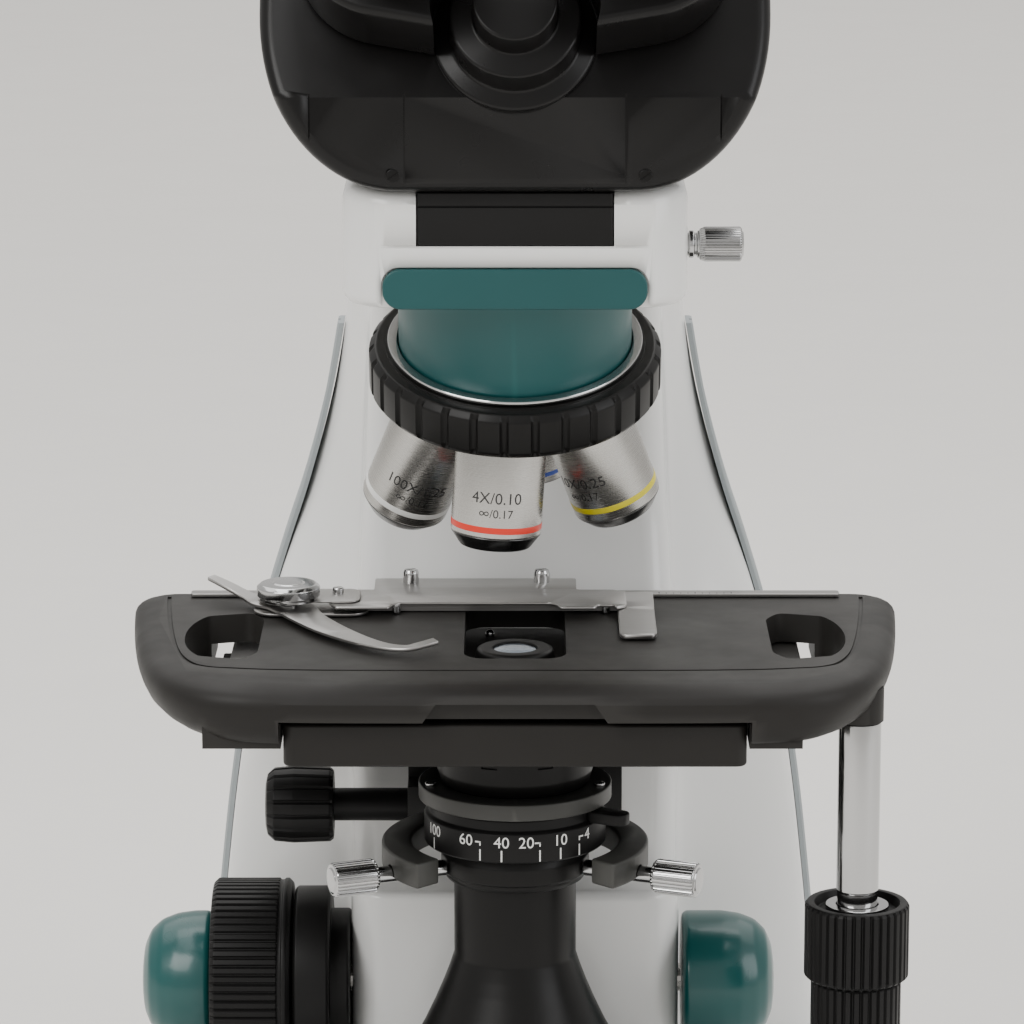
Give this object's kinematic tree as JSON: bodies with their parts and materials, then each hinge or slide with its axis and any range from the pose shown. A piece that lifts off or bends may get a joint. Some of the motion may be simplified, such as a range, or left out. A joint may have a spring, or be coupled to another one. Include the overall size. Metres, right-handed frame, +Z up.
{
  "type": "microscope",
  "caption": "Compound light microscope with a binocular head, turning nosepiece, mechanical stage, condenser and focus drive on a white stand.",
  "frame": {"origin": "centre of the object's box on the table top, under the feet", "axes": "+X to the observer's right, -Y towards the observer at the eyepieces, +Z up"},
  "size_m": [0.211, 0.264, 0.4113],
  "materials": {
    "white_paint": "gloss",
    "black_paint": "satin black coat",
    "stage_black": "matte black coat",
    "grey_panel": "matte",
    "head_black": "satin",
    "dark_plastic": "matte",
    "green_paint": "satin, fine texture",
    "chrome": "polished",
    "steel": "satin",
    "rubber": "matte",
    "glass": "polished"
  },
  "bodies": {
    "stand": {"base_housing": "white_paint", "focus_housing": "white_paint", "bottom_cover": "dark_plastic", "foot_front_left": "rubber", "foot_front_right": "rubber", "foot_rear_left": "rubber", "foot_rear_right": "rubber", "arm": "white_paint", "side_panel_left": "grey_panel", "side_panel_right": "grey_panel", "head_front_plate": "dark_plastic", "carrier_cover": "green_paint", "nosepiece_carrier": "green_paint", "bearing_ring": "chrome", "mains_inlet": "dark_plastic", "field_tower": "black_paint", "tower_flare": "black_paint", "tower_foot": "black_paint", "field_lens": "glass"},
    "field_iris": {"field_iris_ring": "dark_plastic"},
    "power_rocker": {"power_switch": "dark_plastic"},
    "light_control": {"light_dial": "dark_plastic"},
    "tension": {"tension_collar": "dark_plastic"},
    "coarse_focus": {"coarse_focus_knob": "dark_plastic"},
    "fine_focus": {"focus_shaft": "steel", "fine_focus_knob_left": "green_paint", "fine_focus_knob_right": "green_paint"},
    "focus_slide": {"stage_carriage": "black_paint", "stage_base": "stage_black", "stage_y_scale": "steel"},
    "stage_y": {"stage_plate": "stage_black", "x_rail": "steel", "xy_stem": "chrome"},
    "y_drive": {"y_drive_knob": "dark_plastic"},
    "x_drive": {"x_drive_knob": "dark_plastic"},
    "holder": {"slide_holder": "steel", "finger_pivot_knob": "chrome"},
    "finger": {"holder_finger": "steel"},
    "condenser": {"condenser_barrel": "black_paint", "condenser_top_lens": "glass", "condenser_lower_ring": "black_paint", "condenser_holder": "black_paint"},
    "aperture": {"aperture_ring": "dark_plastic"},
    "centring_left": {"centring_screw_left": "chrome"},
    "centring_right": {"centring_screw_right": "chrome"},
    "condenser_drive": {"condenser_height_knob": "dark_plastic"},
    "turret": {"nosepiece": "black_paint", "objective_4x": "steel", "objective_10x": "steel", "objective_40x": "steel", "objective_100x": "steel"},
    "head": {"head_body": "head_black"},
    "head_lock": {"head_lock_screw": "chrome"},
    "eye_right": {"prism_housing_right": "head_black"},
    "eye_left": {"prism_housing_left": "head_black"},
    "dioptre": {"dioptre_ring": "dark_plastic"},
    "ocular_right": {"eyepiece_right": "head_black", "eyecup_right": "rubber"},
    "ocular_left": {"eyepiece_left": "head_black", "eyecup_left": "rubber"}
  },
  "joints": [
    {"name": "focus_travel", "type": "slide", "parent": "stand", "child": "focus_slide", "axis": [0, 0, 1], "range_m": [-0.01, 0.0095]},
    {"name": "coarse_turn", "type": "hinge", "parent": "stand", "child": "coarse_focus", "pos_m": [0, 0.028, 0.0618], "axis": [1, 0, 0], "range_deg": [-91, 86.5]},
    {"name": "fine_turn", "type": "hinge", "parent": "stand", "child": "fine_focus", "pos_m": [0, 0.028, 0.0618], "axis": [1, 0, 0], "continuous": true},
    {"name": "tension_turn", "type": "hinge", "parent": "stand", "child": "tension", "pos_m": [0, 0.028, 0.0618], "axis": [1, 0, 0], "range_deg": [-30, 30]},
    {"name": "stage_y_travel", "type": "slide", "parent": "focus_slide", "child": "stage_y", "axis": [0, 1, 0], "range_m": [-0.018, 0]},
    {"name": "y_turn", "type": "hinge", "parent": "stage_y", "child": "y_drive", "pos_m": [0.0908, -0.045, 0.1067], "axis": [0, 0, 1], "range_deg": [-181, 1]},
    {"name": "holder_x_travel", "type": "slide", "parent": "stage_y", "child": "holder", "axis": [1, 0, 0], "range_m": [-0.018, 0.04]},
    {"name": "x_turn", "type": "hinge", "parent": "stage_y", "child": "x_drive", "pos_m": [0.0908, -0.045, 0.0857], "axis": [0, 0, 1], "range_deg": [-181, 401]},
    {"name": "finger_swing", "type": "hinge", "parent": "holder", "child": "finger", "pos_m": [-0.062, 0.01, 0.1735], "axis": [0, 0, 1], "range_deg": [-35, 0], "stiffness_Nm_per_rad": 0.02, "springref_deg": 5.73},
    {"name": "condenser_travel", "type": "slide", "parent": "focus_slide", "child": "condenser", "axis": [0, 0, 1], "range_m": [-0.008, 0]},
    {"name": "condenser_turn", "type": "hinge", "parent": "focus_slide", "child": "condenser_drive", "pos_m": [0, 0.029, 0.1122], "axis": [1, 0, 0], "range_deg": [-58.6, 1]},
    {"name": "aperture_turn", "type": "hinge", "parent": "condenser", "child": "aperture", "pos_m": [0, -0.02, 0.1166], "axis": [0, 0, 1], "range_deg": [-95, 8]},
    {"name": "centring_left_turn", "type": "hinge", "parent": "condenser", "child": "centring_left", "pos_m": [0, -0.02, 0.1108], "axis": [-0.9272, -0.3746, 0], "range_deg": [0, 350]},
    {"name": "centring_right_turn", "type": "hinge", "parent": "condenser", "child": "centring_right", "pos_m": [0, -0.02, 0.1108], "axis": [0.9272, -0.3746, 0], "range_deg": [0, 350]},
    {"name": "nosepiece_turn", "type": "hinge", "parent": "stand", "child": "turret", "pos_m": [0, -0.00933, 0.25108], "axis": [0, -0.342, 0.9397], "continuous": true},
    {"name": "head_turn", "type": "hinge", "parent": "stand", "child": "head", "pos_m": [0, -0.02, 0.2985], "axis": [0, 0, 1], "continuous": true},
    {"name": "head_lock_turn", "type": "hinge", "parent": "stand", "child": "head_lock", "pos_m": [0, -0.02, 0.2791], "axis": [1, 0, 0], "range_deg": [0, 350]},
    {"name": "eye_spacing_right", "type": "hinge", "parent": "head", "child": "eye_right", "pos_m": [0, -0.0535, 0.338], "axis": [0, -0.866, 0.5], "range_deg": [-28, 8]},
    {"name": "eye_spacing_left", "type": "hinge", "parent": "head", "child": "eye_left", "pos_m": [0, -0.0535, 0.338], "axis": [0, -0.866, 0.5], "range_deg": [-8, 28]},
    {"name": "dioptre_turn", "type": "hinge", "parent": "eye_left", "child": "dioptre", "pos_m": [-0.032, -0.04385, 0.35471], "axis": [0, -0.866, 0.5], "range_deg": [-90, 90]},
    {"name": "eyepiece_right_pull", "type": "slide", "parent": "eye_right", "child": "ocular_right", "axis": [0, -0.866, 0.5], "range_m": [0, 0.02]},
    {"name": "eyepiece_left_pull", "type": "slide", "parent": "eye_left", "child": "ocular_left", "axis": [0, -0.866, 0.5], "range_m": [0, 0.02]},
    {"name": "field_iris_turn", "type": "hinge", "parent": "stand", "child": "field_iris", "pos_m": [0, -0.02, 0.0483], "axis": [0, 0, 1], "range_deg": [0, 90]},
    {"name": "light_turn", "type": "hinge", "parent": "stand", "child": "light_control", "pos_m": [0.098, -0.06, 0.0175], "axis": [1, 0, 0], "range_deg": [0, 270]},
    {"name": "power_tilt", "type": "hinge", "parent": "stand", "child": "power_rocker", "pos_m": [-0.092, -0.06, 0.0175], "axis": [0, 0, 1], "range_deg": [-6, 6]}
  ],
  "couplings": [
    {"joint": "coarse_turn", "follows": "focus_travel", "rad_per_m": 157.08},
    {"joint": "y_turn", "follows": "stage_y_travel", "rad_per_m": 174.53},
    {"joint": "x_turn", "follows": "holder_x_travel", "rad_per_m": 174.53},
    {"joint": "condenser_turn", "follows": "condenser_travel", "rad_per_m": 125.66},
    {"joint": "eye_spacing_left", "follows": "eye_spacing_right", "ratio": -1}
  ]
}
